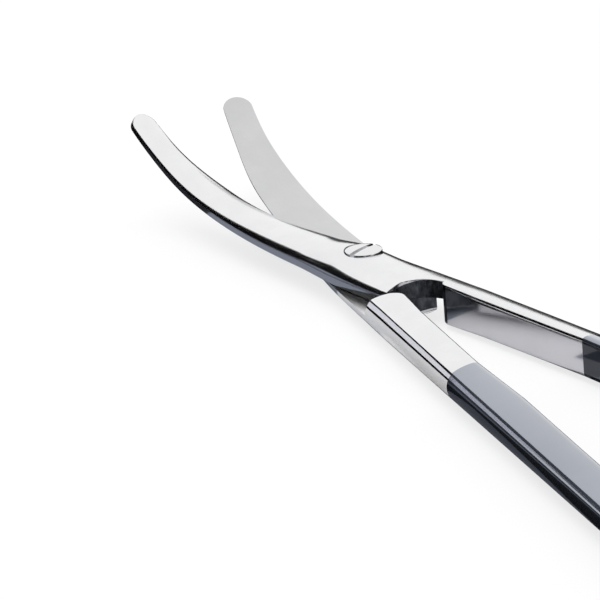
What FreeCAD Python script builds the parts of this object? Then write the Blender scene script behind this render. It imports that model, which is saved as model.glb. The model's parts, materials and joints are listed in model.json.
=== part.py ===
import FreeCAD, Part
import math
import os

from FreeCAD import Placement, Rotation, Vector
from Sketcher import Constraint

# Curved surgical scissors, open, lying on a table. Millimetres.
# Each half is drawn in its own frame: +X from the pivot to the tip, +Z towards the screw's head,
# z = 0 in the middle of the joint. The upper half has its back at +Y, and the lower one at -Y.
# The row's origin is on the pivot axis, on the flat under the joint.

SHEET = "sizes"

DRIVING = {
    # blades
    "blade_length": 42.5,        # from the pivot to the tip
    "tip_rise": 8.0,             # how far the meeting face climbs to the tip
    "curve_start": 7.2,          # distance from the pivot where the climb begins
    "curve_entry": 18.8,         # how long the climb starts flat: the first handle of its curve
    "curve_exit": 7.2,           # run of the last handle of the curve
    "curve_exit_rise": 5.7,      # rise of the last handle of the curve
    "tip_radius": 1.65,          # roundness of the tip in plan
    # joint
    "face_gap": 0.10,            # between the two meeting faces
    "opening_angle": 17.03,      # between the halves as they lie
    "joint_drop": 2.65,          # from the meeting plane to the flat under the joint
    "underside_spot": 2.2,       # radius of that flat's cutter
    "shoulder": 12.7,            # distance of the stop shoulder behind the pivot
    "shoulder_bow": 6.5,         # radius of the shoulder's bow
    "heel": 10.1,                # distance of the joint face's rear tip behind the pivot
    "heel_side": 4.45,           # its distance from the axis, on the back's side
    "relief_radius": 3.9,        # of the hollow behind the joint
    "crotch": 14.2,              # where the hollow runs out into the shank's inner flat
    "crotch_depth": 1.2,         # how far the hollow dips past the axis
    "crotch_radius": 1.7,        # roundness where the hollow meets the inner flat
    "inner_gap": 0.22,           # from the axis to each shank's inner flat
    # screw
    "screw_head_radius": 2.0,
    "screw_rim_height": 2.9,     # of the head's rim, above the meeting plane
    "screw_dome": 0.13,          # how far the head's middle stands above its rim
    "screw_head_height": 1.1,
    "screw_pin_radius": 1.25,
    "screw_end_radius": 1.05,
    "screw_running_gap": 0.05,   # round the pin, in the upper half
    "screw_fixed_gap": 0.02,     # round the end, in the lower half
    "screw_head_gap": 0.08,      # round and under the head
    "slot_width": 0.55,
    "slot_depth": 0.45,
    "slot_angle": 65.5,          # of the slot, clockwise from +X seen from above
    # handles
    "coat_start": 37.7,          # distance of the coat's edge behind the pivot
    "coat_thickness": 0.12,
    "lap": 0.35,                 # how far the handle's inner flat lies past the axis
    "lap_start": 50.0,           # distance behind the pivot where it has come there
    "tail": 137.5,               # distance of the ring's end behind the pivot
    "ring_length": 32.0,
    "ring_width": 27.0,
    "ring_wall": 3.8,
    "ring_height": 4.4,
    "ring_roundness": 1.6,       # radius of the ring's edges
    "ring_gap": 0.4,             # from the axis to the ring
    "web_radius": 6.5,           # roundness of the corner between shank and ring
    "web_height": 2.4,
}

# Cross sections of a half. back: the wall on the back's side, before the hollow is cut.
# wall: half its height. dome: radius of the top. brow: where the top meets the outer side.
# lip: half height there. flank: the outermost point of the outer side.
SECTION_SIZES = ("back", "wall", "dome", "brow", "lip", "flank")
SECTIONS = {
    "root": (-0.6, 1.6, 6.5, 2.4, 1.0, 3.1),
    "bow": (0.65, 2.0, 6.5, 2.8, 1.35, 3.45),
    "rear": (0.7, 2.3, 6.5, 2.95, 1.4, 3.6),
    "coat": (0.7, 2.15, 6.5, 3.3, 1.5, 3.95),
    "neck": (2.9, 1.9, 10.1, 3.4, 1.58, 4.07),
    "heel": (4.6, 1.5, 12.2, 3.4, 1.5, 4.1),
    "pivot": (4.2, 1.44, 5.55, 3.5, 1.22, 4.1),
    "throat": (3.4, 1.3, 5.25, 3.5, 0.8, 3.65),
    "quarter": (2.6, 1.08, 4.4, 3.0, 0.3, 3.05),
    "middle": (1.95, 0.9, 4.0, 2.75, 0.3, 2.8),
    "three_quarter": (1.35, 0.8, 3.25, 2.2, 0.3, 2.25),
    "tip": (1.15, 0.68, 3.3, 1.95, 0.3, 2.0),
}

# Where the sections stand: as a distance from what they belong to, forwards, or along the
# climb of the meeting face, from 0 to 1.
OFFSETS = {
    "bow": -0.5,            # from the ring's front
    "rear": 20.5,           # from the ring's front
    "neck": -3.1,           # from where the hollow runs out
    "heel": 0.7,            # from the joint face's rear tip
}
ALONG_CURVE = {"quarter": 0.27, "middle": 0.53, "three_quarter": 0.78, "tip": 1.0}

BLADE_ORDER = ("heel", "pivot", "throat", "quarter", "middle", "three_quarter", "tip")
SHANK_ORDER = ("coat", "neck", "heel")
HANDLE_ORDER = ("coat", "rear", "bow", "root")

OVERLAP = 1.0           # joined shapes run this far into each other
WEB_ROOT = 0.5          # the corner web starts this far inside the shank and the ring
LEAST_CUT = 1e-3        # a cut that takes away less, in cubic mm, has missed


class Size:
    """A length that carries its number and the words that bind it to the sheet."""

    def __init__(self, number, text=None):
        self.number = float(number)
        self.text = text if text is not None else repr(float(number))

    def joined(self, sign, other, number):
        return Size(number, "(%s %s %s)" % (self.text, sign, other.text))

    def __add__(self, other):
        other = as_size(other)
        return self.joined("+", other, self.number + other.number)

    def __sub__(self, other):
        other = as_size(other)
        return self.joined("-", other, self.number - other.number)

    def __mul__(self, other):
        other = as_size(other)
        return self.joined("*", other, self.number * other.number)

    def __truediv__(self, other):
        other = as_size(other)
        return self.joined("/", other, self.number / other.number)

    def __neg__(self):
        return self * -1.0

    __radd__ = __add__
    __rmul__ = __mul__

    def __rsub__(self, other):
        return as_size(other) - self


def as_size(value):
    return value if isinstance(value, Size) else Size(value)


def slope_angle(rise, run):
    """The angle of a slope, in degrees."""
    number = math.degrees(math.atan2(rise.number, run.number))
    return Size(number, "atan2(%s; %s)" % (rise.text, run.text))


def make_sheet(doc):
    """Puts every driving size into the sheet and gives back the bound sizes by name."""
    sheet = doc.addObject("Spreadsheet::Sheet", SHEET)
    sizes = {}
    rows = list(DRIVING.items())
    rows += [(name + "_offset", place) for name, place in OFFSETS.items()]
    for name, values in SECTIONS.items():
        rows += [("%s_%s" % (name, part), value) for part, value in zip(SECTION_SIZES, values)]
    for row, (alias, value) in enumerate(rows, start=1):
        sheet.set("A%d" % row, alias)
        sheet.set("B%d" % row, repr(value))
        sheet.setAlias("B%d" % row, alias)
        sizes[alias] = Size(value, "%s.%s" % (SHEET, alias))
    doc.recompute()
    return sizes


def origin_plane(body, role):
    return [item for item in body.Origin.OriginFeatures if item.Role == role][0]


def new_sketch(body, role, name):
    sketch = body.newObject("Sketcher::SketchObject", name)
    sketch.AttachmentSupport = [(origin_plane(body, role), "")]
    sketch.MapMode = "FlatFace"
    return sketch


def bind(sketch, constraint, size):
    """Adds a constraint and binds its value to the sheet."""
    index = sketch.addConstraint(constraint)
    sketch.setExpression("Constraints[%d]" % index, size.text)


def arc_through(start, end, radius, turn):
    """An arc of the given radius; with turn 1 its centre lies left of the way from start to end."""
    chord = end - start
    half = chord.Length / 2.0
    reach = math.sqrt(max(radius * radius - half * half, 0.0))
    left = Vector(-chord.y, chord.x, 0).normalize()
    centre = (start + end) * 0.5 + left * (reach * turn)
    middle = centre + left * (-turn * radius)
    return Part.Arc(start, middle, end)


def draw_outline(sketch, corners, arcs):
    """A closed outline through the corners; arcs maps an edge's number to its radius and turn."""
    spots = [Vector(x.number, y.number, 0) for x, y in corners]
    ends = []
    for index, start in enumerate(spots):
        end = spots[(index + 1) % len(spots)]
        if index in arcs:
            radius, turn = arcs[index]
            edge = sketch.addGeometry(arc_through(start, end, radius.number, turn), False)
        else:
            edge = sketch.addGeometry(Part.LineSegment(start, end), False)
        forward = sketch.getPoint(edge, 1).distanceToPoint(start) < sketch.getPoint(edge, 2).distanceToPoint(start)
        ends.append((edge, 1, 2) if forward else (edge, 2, 1))
    for index, (edge, first, last) in enumerate(ends):
        following = ends[(index + 1) % len(ends)]
        sketch.addConstraint(Constraint("Coincident", edge, last, following[0], following[1]))
    for (x, y), (edge, first, last) in zip(corners, ends):
        bind(sketch, Constraint("DistanceX", -1, 1, edge, first, x.number), x)
        bind(sketch, Constraint("DistanceY", -1, 1, edge, first, y.number), y)
    for index, (radius, turn) in arcs.items():
        bind(sketch, Constraint("Radius", ends[index][0], radius.number), radius)


def curve_poles(sizes):
    """The four poles of the climb of the meeting face, in distance from the pivot and height."""
    start = sizes["curve_start"]
    length = sizes["blade_length"]
    rise = sizes["tip_rise"]
    level = Size(0.0)
    before_tip = (length - sizes["curve_exit"], rise - sizes["curve_exit_rise"])
    return [(start, level), (start + sizes["curve_entry"], level), before_tip, (length, rise)]


def on_curve(sizes, share):
    """Distance, height and slope of the climb at a share of its way."""
    poles = curve_poles(sizes)
    rest = 1.0 - share
    weights = (rest ** 3, 3 * rest ** 2 * share, 3 * rest * share ** 2, share ** 3)
    steps = (rest ** 2, 2 * rest * share, share ** 2)
    place = []
    speed = []
    for axis in (0, 1):
        place.append(sum((poles[k][axis] * weights[k] for k in range(1, 4)), poles[0][axis] * weights[0]))
        moves = [poles[k + 1][axis] - poles[k][axis] for k in range(3)]
        speed.append(sum((moves[k] * steps[k] for k in range(1, 3)), moves[0] * steps[0]))
    return place[0], place[1], slope_angle(speed[1], speed[0])


def ring_front(sizes):
    return -(sizes["tail"] - sizes["ring_length"])


def station(sizes, name):
    """Where a cross section stands: its place along the half, its height and its slope."""
    if name in ALONG_CURVE:
        return on_curve(sizes, ALONG_CURVE[name])
    places = {
        "root": ring_centre(sizes)[0],
        "bow": ring_front(sizes),
        "rear": ring_front(sizes),
        "coat": -sizes["coat_start"],
        "neck": -sizes["crotch"],
        "heel": -sizes["heel"],
        "pivot": Size(0.0),
        "throat": sizes["curve_start"],
    }
    place = places[name]
    if name in OFFSETS:
        place = place + sizes[name + "_offset"]
    return place, Size(0.0), None


def section_sketch(body, sizes, name, side, inset):
    """One cross section of a half: a lens with a flat wall, a domed top and a rounded outer side."""
    values = {part: sizes["%s_%s" % (name, part)] for part in SECTION_SIZES}
    back = values["back"] - inset
    wall = values["wall"] - inset
    lip = values["lip"] - inset
    brow = values["brow"] - inset
    bulge = values["flank"] - values["brow"]
    dome = values["dome"] - inset
    cheek = (lip * lip + bulge * bulge) / (bulge * 2.0)
    corners = [(back, -wall), (back, wall), (-brow, lip), (-brow, -lip)]
    corners = [(y * side, z * side) for y, z in corners]
    place, height, slope = station(sizes, name)
    sketch = new_sketch(body, "YZ_Plane", "%s_section" % name)
    tilt = Rotation(Vector(-1, 0, 0), slope.number if slope else 0.0)
    sketch.AttachmentOffset = Placement(Vector(0, height.number, place.number), tilt)
    sketch.setExpression("AttachmentOffset.Base.z", place.text)
    sketch.setExpression("AttachmentOffset.Base.y", height.text)
    if slope:
        sketch.setExpression("AttachmentOffset.Rotation.Angle", slope.text)
    draw_outline(sketch, corners, {1: (dome, 1), 2: (cheek, 1), 3: (dome, 1)})
    return sketch


def add_loft(body, sizes, name, order, side, inset, straight):
    sketches = [section_sketch(body, sizes, station_name, side, inset) for station_name in order]
    loft = body.newObject("PartDesign::AdditiveLoft", name)
    loft.Profile = sketches[0]
    loft.Sections = sketches[1:]
    loft.Ruled = straight
    return loft


def add_pocket(body, name, sketch, both_ways=False, upwards=False):
    pocket = body.newObject("PartDesign::Pocket", name)
    pocket.Profile = sketch
    pocket.Type = "ThroughAll"
    pocket.Midplane = both_ways
    pocket.Reversed = upwards
    return pocket


def cut_meeting_face(body, sizes, side):
    """Takes away the other half's layer: flat at the joint, and along the climb to the tip."""
    half_gap = sizes["face_gap"] / 2.0
    outside = sizes["blade_length"]
    sketch = new_sketch(body, "XY_Plane", "joint_layer")
    sketch.AttachmentOffset = Placement(Vector(0, 0, half_gap.number * side), Rotation())
    sketch.setExpression("AttachmentOffset.Base.z", (half_gap * side).text)
    shoulder_end = -sizes["heel_flank"] * side * 1.5
    inner_corner = -sizes["crotch_depth"] * side
    past_start = sizes["curve_start"] + OVERLAP
    corners = [
        (-sizes["shoulder"], shoulder_end),
        (-sizes["shoulder"], inner_corner),
        (-sizes["crotch"], inner_corner),
        (-sizes["crotch"], outside * side),
        (past_start, outside * side),
        (past_start, shoulder_end),
    ]
    draw_outline(sketch, corners, {0: (sizes["shoulder_bow"], side)})
    add_pocket(body, "joint_layer_cut", sketch, upwards=side < 0)
    cut_climb(body, sizes, side, half_gap)


def cut_climb(body, sizes, side, half_gap):
    """The climbing part of the meeting face is turned about the pivot, so the halves pass freely."""
    poles = [(distance, height + half_gap * side) for distance, height in curve_poles(sizes)]
    sketch = new_sketch(body, "XZ_Plane", "climb_profile")
    curve = Part.BSplineCurve()
    spots = [Vector(distance.number, height.number, 0) for distance, height in poles]
    curve.buildFromPolesMultsKnots(spots, [4, 4], [0, 1], False, 3)
    spline = sketch.addGeometry(curve, False)
    first_circle = sketch.GeometryCount
    sketch.exposeInternalGeometry(spline)
    for index, (distance, height) in enumerate(poles):
        circle = first_circle + index
        bind(sketch, Constraint("DistanceX", -1, 1, circle, 3, distance.number), distance)
        bind(sketch, Constraint("DistanceY", -1, 1, circle, 3, height.number), height)
    reach = sizes["blade_length"]
    away = -reach * side
    start, end = poles[0], poles[3]
    slope = (end[1] - poles[2][1]) / (end[0] - poles[2][0])
    past_tip = (end[0] + reach, end[1] + slope * reach)
    corners = [end, past_tip, (past_tip[0], away), (start[0], away), start]
    lines = []
    for (x0, y0), (x1, y1) in zip(corners[:-1], corners[1:]):
        line = Part.LineSegment(Vector(x0.number, y0.number, 0), Vector(x1.number, y1.number, 0))
        lines.append(sketch.addGeometry(line, False))
    sketch.addConstraint(Constraint("Coincident", spline, 2, lines[0], 1))
    sketch.addConstraint(Constraint("Coincident", lines[-1], 2, spline, 1))
    for line, following, corner in zip(lines, lines[1:], corners[1:]):
        sketch.addConstraint(Constraint("Coincident", line, 2, following, 1))
        bind(sketch, Constraint("DistanceX", -1, 1, following, 1, corner[0].number), corner[0])
        bind(sketch, Constraint("DistanceY", -1, 1, following, 1, corner[1].number), corner[1])
    groove = body.newObject("PartDesign::Groove", "climb_cut")
    groove.Profile = sketch
    groove.ReferenceAxis = (sketch, ["V_Axis"])
    groove.Midplane = True
    groove.Angle = 90.0


def cut_hollow(body, sizes, side):
    """The round hollow behind the joint and the flat inner side of the shank."""
    sketch = new_sketch(body, "XY_Plane", "hollow")
    outside = sizes["blade_length"]
    inner = -sizes["inner_gap"]
    behind = -(sizes["coat_start"] + outside)
    corners = [
        (-sizes["heel"], sizes["heel_side"]),
        (-sizes["shoulder"], -sizes["crotch_depth"]),
        (-sizes["crotch"], inner),
        (behind, inner),
        (behind, outside),
        (-sizes["heel"], outside),
    ]
    corners = [(x, y * side) for x, y in corners]
    arcs = {0: (sizes["relief_radius"], -side), 1: (sizes["crotch_radius"], side)}
    draw_outline(sketch, corners, arcs)
    add_pocket(body, "hollow_cut", sketch, both_ways=True)


def round_tip(body, sizes, side):
    """Cuts the tip round, square to the blade's own slope there."""
    length, rise, slope = on_curve(sizes, 1.0)
    sketch = new_sketch(body, "XY_Plane", "tip_outline")
    sketch.AttachmentOffset = Placement(
        Vector(length.number, 0, rise.number), Rotation(Vector(0, -1, 0), slope.number)
    )
    sketch.setExpression("AttachmentOffset.Base.x", length.text)
    sketch.setExpression("AttachmentOffset.Base.z", rise.text)
    sketch.setExpression("AttachmentOffset.Rotation.Angle", slope.text)
    radius = sizes["tip_radius"]
    middle = (sizes["tip_back"] - sizes["tip_flank"]) / 2.0 * side
    outside = radius * 2.0
    past = radius * 1.5
    corners = [
        (-radius, middle + radius),
        (-radius, middle + outside),
        (past, middle + outside),
        (past, middle - outside),
        (-radius, middle - outside),
        (-radius, middle - radius),
        (Size(0.0), middle),
    ]
    draw_outline(sketch, corners, {5: (radius, 1), 6: (radius, 1)})
    pocket = add_pocket(body, "tip_cut", sketch, both_ways=True)
    pocket.Type = "Length"
    pocket.Length = radius.number * 4.0
    pocket.setExpression("Length", (radius * 4.0).text)


def drill(body, name, radius, base, outwards):
    """A round pocket on the pivot axis from the given height, up or down."""
    sketch = new_sketch(body, "XY_Plane", name + "_circle")
    sketch.AttachmentOffset = Placement(Vector(0, 0, base.number), Rotation())
    sketch.setExpression("AttachmentOffset.Base.z", base.text)
    circle = sketch.addGeometry(Part.Circle(Vector(0, 0, 0), Vector(0, 0, 1), radius.number), False)
    sketch.addConstraint(Constraint("Coincident", circle, 3, -1, 1))
    bind(sketch, Constraint("Radius", circle, radius.number), radius)
    return add_pocket(body, name, sketch, upwards=outwards > 0)


def blade_body(doc, sizes, name, side):
    """One half from its tip to the coat's edge."""
    body = doc.addObject("PartDesign::Body", name + "_steel")
    add_loft(body, sizes, "blade", BLADE_ORDER, side, Size(0.0), straight=False)
    add_loft(body, sizes, "shank", SHANK_ORDER, side, Size(0.0), straight=True)
    cut_hollow(body, sizes, side)
    cut_meeting_face(body, sizes, side)
    round_tip(body, sizes, side)
    half_gap = sizes["face_gap"] / 2.0
    if side > 0:
        seat = sizes["screw_rim_height"] - sizes["screw_head_height"] - sizes["screw_head_gap"]
        drill(body, "head_seat", sizes["screw_head_radius"] + sizes["screw_head_gap"], seat, 1)
        drill(body, "pin_bore", sizes["screw_pin_radius"] + sizes["screw_running_gap"], half_gap, 1)
    else:
        drill(body, "end_bore", sizes["screw_end_radius"] + sizes["screw_fixed_gap"], -half_gap, -1)
        drill(body, "underside_flat", sizes["underside_spot"], -sizes["joint_drop"], -1)
    return body


def ring_centre(sizes):
    x = -(sizes["tail"] - sizes["ring_length"] / 2.0)
    y = -(sizes["ring_gap"] + sizes["ring_width"] / 2.0)
    return x, y


def oval_sketch(body, name, centre, length, width):
    """An upright oval; its longer axis lies along the half, or across it if it is wider than long."""
    sketch = new_sketch(body, "XY_Plane", name)
    middle = Vector(centre[0].number, centre[1].number, 0)
    across = width.number > length.number
    longer, shorter = (width, length) if across else (length, width)
    along = Vector(0, 1, 0) if across else Vector(1, 0, 0)
    aside = Vector(-along.y, along.x, 0)
    oval = Part.Ellipse(middle + along * longer.number * 0.5, middle + aside * shorter.number * 0.5, middle)
    edge = sketch.addGeometry(oval, False)
    first_axis = sketch.GeometryCount
    sketch.exposeInternalGeometry(edge)
    bind(sketch, Constraint("DistanceX", -1, 1, edge, 3, centre[0].number), centre[0])
    bind(sketch, Constraint("DistanceY", -1, 1, edge, 3, centre[1].number), centre[1])
    sketch.addConstraint(Constraint("Vertical" if across else "Horizontal", first_axis))
    bind(sketch, Constraint("Distance", first_axis, longer.number), longer)
    bind(sketch, Constraint("Distance", first_axis + 1, shorter.number), shorter)
    return sketch


def add_pad(body, name, sketch, height):
    pad = body.newObject("PartDesign::Pad", name)
    pad.Profile = sketch
    pad.Midplane = True
    pad.Length = height.number
    pad.setExpression("Length", height.text)
    return pad


def handle_body(doc, sizes, name, side, inset):
    """A handle behind the coat's edge: ring, shank and the web between them, thinner by the inset."""
    body = doc.addObject("PartDesign::Body", name)
    x, y = ring_centre(sizes)
    centre = (x, y * side)
    outer = oval_sketch(
        body, "ring_outline", centre, sizes["ring_length"] - inset * 2.0, sizes["ring_width"] - inset * 2.0
    )
    add_pad(body, "ring", outer, sizes["ring_height"] - inset * 2.0)
    wall = sizes["ring_wall"] * 2.0 - inset * 2.0
    hole = oval_sketch(body, "ring_hole_outline", centre, sizes["ring_length"] - wall, sizes["ring_width"] - wall)
    pocket = add_pocket(body, "ring_hole", hole, both_ways=True)
    doc.recompute()
    rim = body.newObject("PartDesign::Fillet", "ring_rounding")
    rim.Base = (pocket, oval_edges(pocket.Shape))
    rim.Radius = sizes["ring_roundness"].number - inset.number
    rim.setExpression("Radius", (sizes["ring_roundness"] - inset).text)
    add_loft(body, sizes, "shank", HANDLE_ORDER, side, inset, straight=True)
    cut_inner_flat(body, sizes, side, inset)
    add_web(body, sizes, side, inset)
    return body


def oval_edges(shape):
    """The names of a ring's four oval edges."""
    names = []
    for index, edge in enumerate(shape.Edges, start=1):
        if isinstance(edge.Curve, Part.Ellipse):
            names.append("Edge%d" % index)
    return names


def cut_inner_flat(body, sizes, side, inset):
    sketch = new_sketch(body, "XY_Plane", "inner_flat")
    inner = -(sizes["inner_gap"] + inset)
    lap = sizes["lap"] - inset
    outside = sizes["ring_width"]
    ahead = outside - sizes["coat_start"]
    behind = ring_centre(sizes)[0]
    corners = [
        (ahead, inner),
        (-sizes["coat_start"], inner),
        (-sizes["lap_start"], lap),
        (behind, lap),
        (behind, outside),
        (ahead, outside),
    ]
    corners = [(x, y * side) for x, y in corners]
    draw_outline(sketch, corners, {})
    add_pocket(body, "inner_flat_cut", sketch, both_ways=True)


def add_web(body, sizes, side, inset):
    """Fills the corner between shank and ring with a round hollow."""
    front = ring_front(sizes) - inset
    radius = sizes["web_radius"] + inset
    flank = (sizes["rear_flank"] + sizes["bow_flank"]) / 2.0 - inset
    tangent = front + radius
    low = -(flank + radius)
    in_ring = front - sizes["ring_wall"] / 2.0
    behind = front - sizes["ring_wall"] * 2.0
    in_shank = -flank + OVERLAP * 2.0
    corners = [
        (tangent, -flank + WEB_ROOT),
        (front - WEB_ROOT, low),
        (in_ring, low - OVERLAP),
        (behind, -flank - OVERLAP),
        (behind, in_shank),
        (tangent, in_shank),
    ]
    corners = [(x, y * side) for x, y in corners]
    sketch = new_sketch(body, "XY_Plane", "web_outline")
    draw_outline(sketch, corners, {0: (radius, side)})
    add_pad(body, "web", sketch, sizes["web_height"] - inset * 2.0)


def half_and_coat(doc, sizes, name, side):
    """One half with its core under the coat, and the coat itself."""
    steel = blade_body(doc, sizes, name, side)
    form = handle_body(doc, sizes, name + "_handle_form", side, Size(0.0))
    core = handle_body(doc, sizes, name + "_core", side, sizes["coat_thickness"])
    whole = doc.addObject("Part::Fuse", name + "_half")
    whole.Base = steel
    whole.Tool = core
    coat = doc.addObject("Part::Cut", name + "_handle_coat")
    coat.Base = form
    coat.Tool = core
    for part in (whole, coat):
        part.Placement = Placement(
            Vector(0, 0, sizes["joint_drop"].number),
            Rotation(Vector(0, 0, side), sizes["opening_angle"].number / 2.0),
        )
        part.setExpression("Placement.Base.z", sizes["joint_drop"].text)
        part.setExpression("Placement.Rotation.Angle", (sizes["opening_angle"] / 2.0).text)
    return [whole, coat]


def pivot_screw(doc, sizes):
    """The screw: a domed, slotted head, a plain pin in the upper half and an end in the lower half."""
    body = doc.addObject("PartDesign::Body", "pivot_screw")
    rim = sizes["screw_rim_height"]
    under_head = rim - sizes["screw_head_height"]
    shoulder = -sizes["face_gap"] / 2.0
    end = -sizes["joint_drop"]
    top = rim + sizes["screw_dome"]
    head = sizes["screw_head_radius"]
    axis = Size(0.0)
    crown = (head * head + sizes["screw_dome"] * sizes["screw_dome"]) / (sizes["screw_dome"] * 2.0)
    corners = [
        (axis, end),
        (sizes["screw_end_radius"], end),
        (sizes["screw_end_radius"], shoulder),
        (sizes["screw_pin_radius"], shoulder),
        (sizes["screw_pin_radius"], under_head),
        (head, under_head),
        (head, rim),
        (axis, top),
    ]
    profile = new_sketch(body, "XZ_Plane", "screw_profile")
    draw_outline(profile, corners, {6: (crown, 1)})
    turned = body.newObject("PartDesign::Revolution", "turned_screw")
    turned.Profile = profile
    turned.ReferenceAxis = (profile, ["V_Axis"])
    turned.Angle = 360.0
    slot = new_sketch(body, "XY_Plane", "slot_outline")
    floor = rim - sizes["slot_depth"]
    slot.AttachmentOffset = Placement(
        Vector(0, 0, floor.number), Rotation(Vector(0, 0, -1), sizes["slot_angle"].number)
    )
    slot.setExpression("AttachmentOffset.Base.z", floor.text)
    slot.setExpression("AttachmentOffset.Rotation.Angle", sizes["slot_angle"].text)
    half = sizes["slot_width"] / 2.0
    far = head * 1.5
    draw_outline(slot, [(-far, -half), (far, -half), (far, half), (-far, half)], {})
    add_pocket(body, "slot", slot, upwards=True)
    body.Placement = Placement(Vector(0, 0, sizes["joint_drop"].number), Rotation())
    body.setExpression("Placement.Base.z", sizes["joint_drop"].text)
    return body


def check_document(doc):
    """Stops on any failed object, or on a cut that takes nothing away."""
    for item in doc.Objects:
        bad = {"Invalid", "Error"} & set(item.State)
        if bad:
            raise RuntimeError("%s is %s" % (item.Name, ", ".join(sorted(bad))))
        if item.TypeId in ("PartDesign::Pocket", "PartDesign::Groove"):
            before = item.BaseFeature.Shape.Volume
            if item.Shape.Volume > before - LEAST_CUT:
                raise RuntimeError("%s of %s cuts nothing" % (item.Label, item.getParent().Label))


def write_parts(parts):
    os.makedirs("parts", exist_ok=True)
    for part in parts:
        shape = part.Shape
        if shape.isNull() or not shape.isValid():
            raise RuntimeError("%s has no valid shape" % part.Label)
        if len(shape.Solids) != 1:
            raise RuntimeError("%s has %d solids" % (part.Label, len(shape.Solids)))
        shape.exportStep("parts/%s.step" % part.Label)
        print("%s: %.1f cubic mm" % (part.Label, shape.Volume))


def main():
    doc = FreeCAD.newDocument("scissors")
    sizes = make_sheet(doc)
    parts = []
    for name, side in (("upper", 1), ("lower", -1)):
        parts += half_and_coat(doc, sizes, name, side)
    parts.append(pivot_screw(doc, sizes))
    doc.recompute()
    check_document(doc)
    write_parts(parts)


main()
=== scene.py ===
import json
import math

import bmesh
import bpy
from bpy.props import FloatProperty, FloatVectorProperty, PointerProperty
from bpy.types import Operator, Panel, PropertyGroup
from mathutils import Matrix, Vector


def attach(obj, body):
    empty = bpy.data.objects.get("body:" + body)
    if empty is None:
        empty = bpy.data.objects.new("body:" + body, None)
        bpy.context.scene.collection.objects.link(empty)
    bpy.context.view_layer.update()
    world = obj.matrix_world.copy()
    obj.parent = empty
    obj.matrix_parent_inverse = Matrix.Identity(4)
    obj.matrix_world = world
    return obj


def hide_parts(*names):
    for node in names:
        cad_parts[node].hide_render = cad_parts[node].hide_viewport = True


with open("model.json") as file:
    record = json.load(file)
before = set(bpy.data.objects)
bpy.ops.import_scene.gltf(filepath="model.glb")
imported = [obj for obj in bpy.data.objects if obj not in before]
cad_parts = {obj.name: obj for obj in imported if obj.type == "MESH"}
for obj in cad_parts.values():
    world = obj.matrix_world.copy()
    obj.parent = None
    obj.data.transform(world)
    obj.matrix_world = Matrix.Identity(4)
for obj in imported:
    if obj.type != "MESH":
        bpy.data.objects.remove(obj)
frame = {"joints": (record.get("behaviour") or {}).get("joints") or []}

bl_info = {
    "name": "Curved surgical scissors",
    "version": (1, 0, 0),
    "blender": (4, 5, 0),
    "location": "3D View > Sidebar > Scissors",
    "description": "Builds a pair of curved scissors with coated handles, piece by piece",
    "category": "Object",
}

# A half is drawn in millimetres in its own frame: +X from the pivot to the tip, its back at +Y,
# z = 0 at the meeting plane and the domed side at +Z. The lower half is the same turned over,
# but its blade climbs the same way. All lengths below are in millimetres, but for the stage's.

DROP = frame["joints"][0]["pos_m"][2] * 1000.0   # from the meeting plane to the table
OPENING = 17.03                                  # degrees between the halves as they lie
HALF_OPENING = math.radians(OPENING / 2.0)
HALF_GAP = 0.05                                  # from the meeting plane to either half's face
MILLIMETRE = 0.001
# From millimetres over the meeting plane to the frame's metres over the table.
UPRIGHT = Matrix.Scale(MILLIMETRE, 4) @ Matrix.Translation((0.0, 0.0, DROP))

# The poles of the curve that the meeting face follows: along the half and up.
CLIMB = ((7.2, 0.0), (26.0, 0.0), (35.3, 2.3), (42.5, 8.0))
BLADE_START = CLIMB[0][0]
BLADE_RUN = CLIMB[3][0] - BLADE_START
TIP_RADIUS = 1.65         # of the blunt end, seen from above
TIP_REST = 0.02           # half the width that is left at the very end
TIP_SOFTNESS = 0.32       # of the end's rim

# Cross sections: place, back, half height of the back, radius of the top, brow, its half height,
# and the outermost point.
SECTIONS = (
    (-121.5, -0.6, 1.6, 6.5, 2.4, 1.0, 3.1),
    (-106.0, 0.65, 2.0, 6.5, 2.8, 1.35, 3.45),
    (-85.0, 0.7, 2.3, 6.5, 2.95, 1.4, 3.6),
    (-37.7, 0.7, 2.15, 6.5, 3.3, 1.5, 3.95),
    (-17.3, 2.9, 1.9, 10.1, 3.4, 1.58, 4.07),
    (-9.4, 4.6, 1.5, 12.2, 3.4, 1.5, 4.1),
    (0.0, 4.2, 1.44, 5.55, 3.5, 1.22, 4.1),
    (BLADE_START, 3.4, 1.3, 5.25, 3.5, 0.8, 3.65),
    (BLADE_START + BLADE_RUN * 0.27, 2.6, 1.08, 4.4, 3.0, 0.3, 3.05),
    (BLADE_START + BLADE_RUN * 0.53, 1.95, 0.9, 4.0, 2.75, 0.3, 2.8),
    (BLADE_START + BLADE_RUN * 0.78, 1.35, 0.8, 3.25, 2.2, 0.3, 2.25),
    (BLADE_START + BLADE_RUN, 1.15, 0.68, 3.3, 1.95, 0.3, 2.0),
)
COAT_ROW = 3              # the section where the coat starts
SMOOTH_ROW = 5            # from this section on the values follow smooth curves

SHOULDER = 12.7           # from the pivot back to the shoulder
SHOULDER_BOW = 6.5        # radius of its curve
SHOULDER_END = 6.15       # how far out the curve's chord reaches
HOLLOW_FOOT = (-12.7, -1.2)
HOLLOW_RADIUS = 3.9
HEEL = (-10.1, 4.45)      # where the hollow meets the joint's back
HEEL_FLANK = -8.5         # where the heel's ring meets the flank
SQUARE_START = -3.0       # the rings stand square from here on
JOINT_FLANK = 4.1         # the joint's outermost point
CROTCH = (-14.2, -0.22)
CROTCH_RADIUS = 1.7
FRONT_LAP = -0.22         # where the shank's inner flat lies in front of the coat's start
REAR_LAP = 0.35           # and where it lies from LAP_START backwards
LAP_START = -50.0

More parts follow.
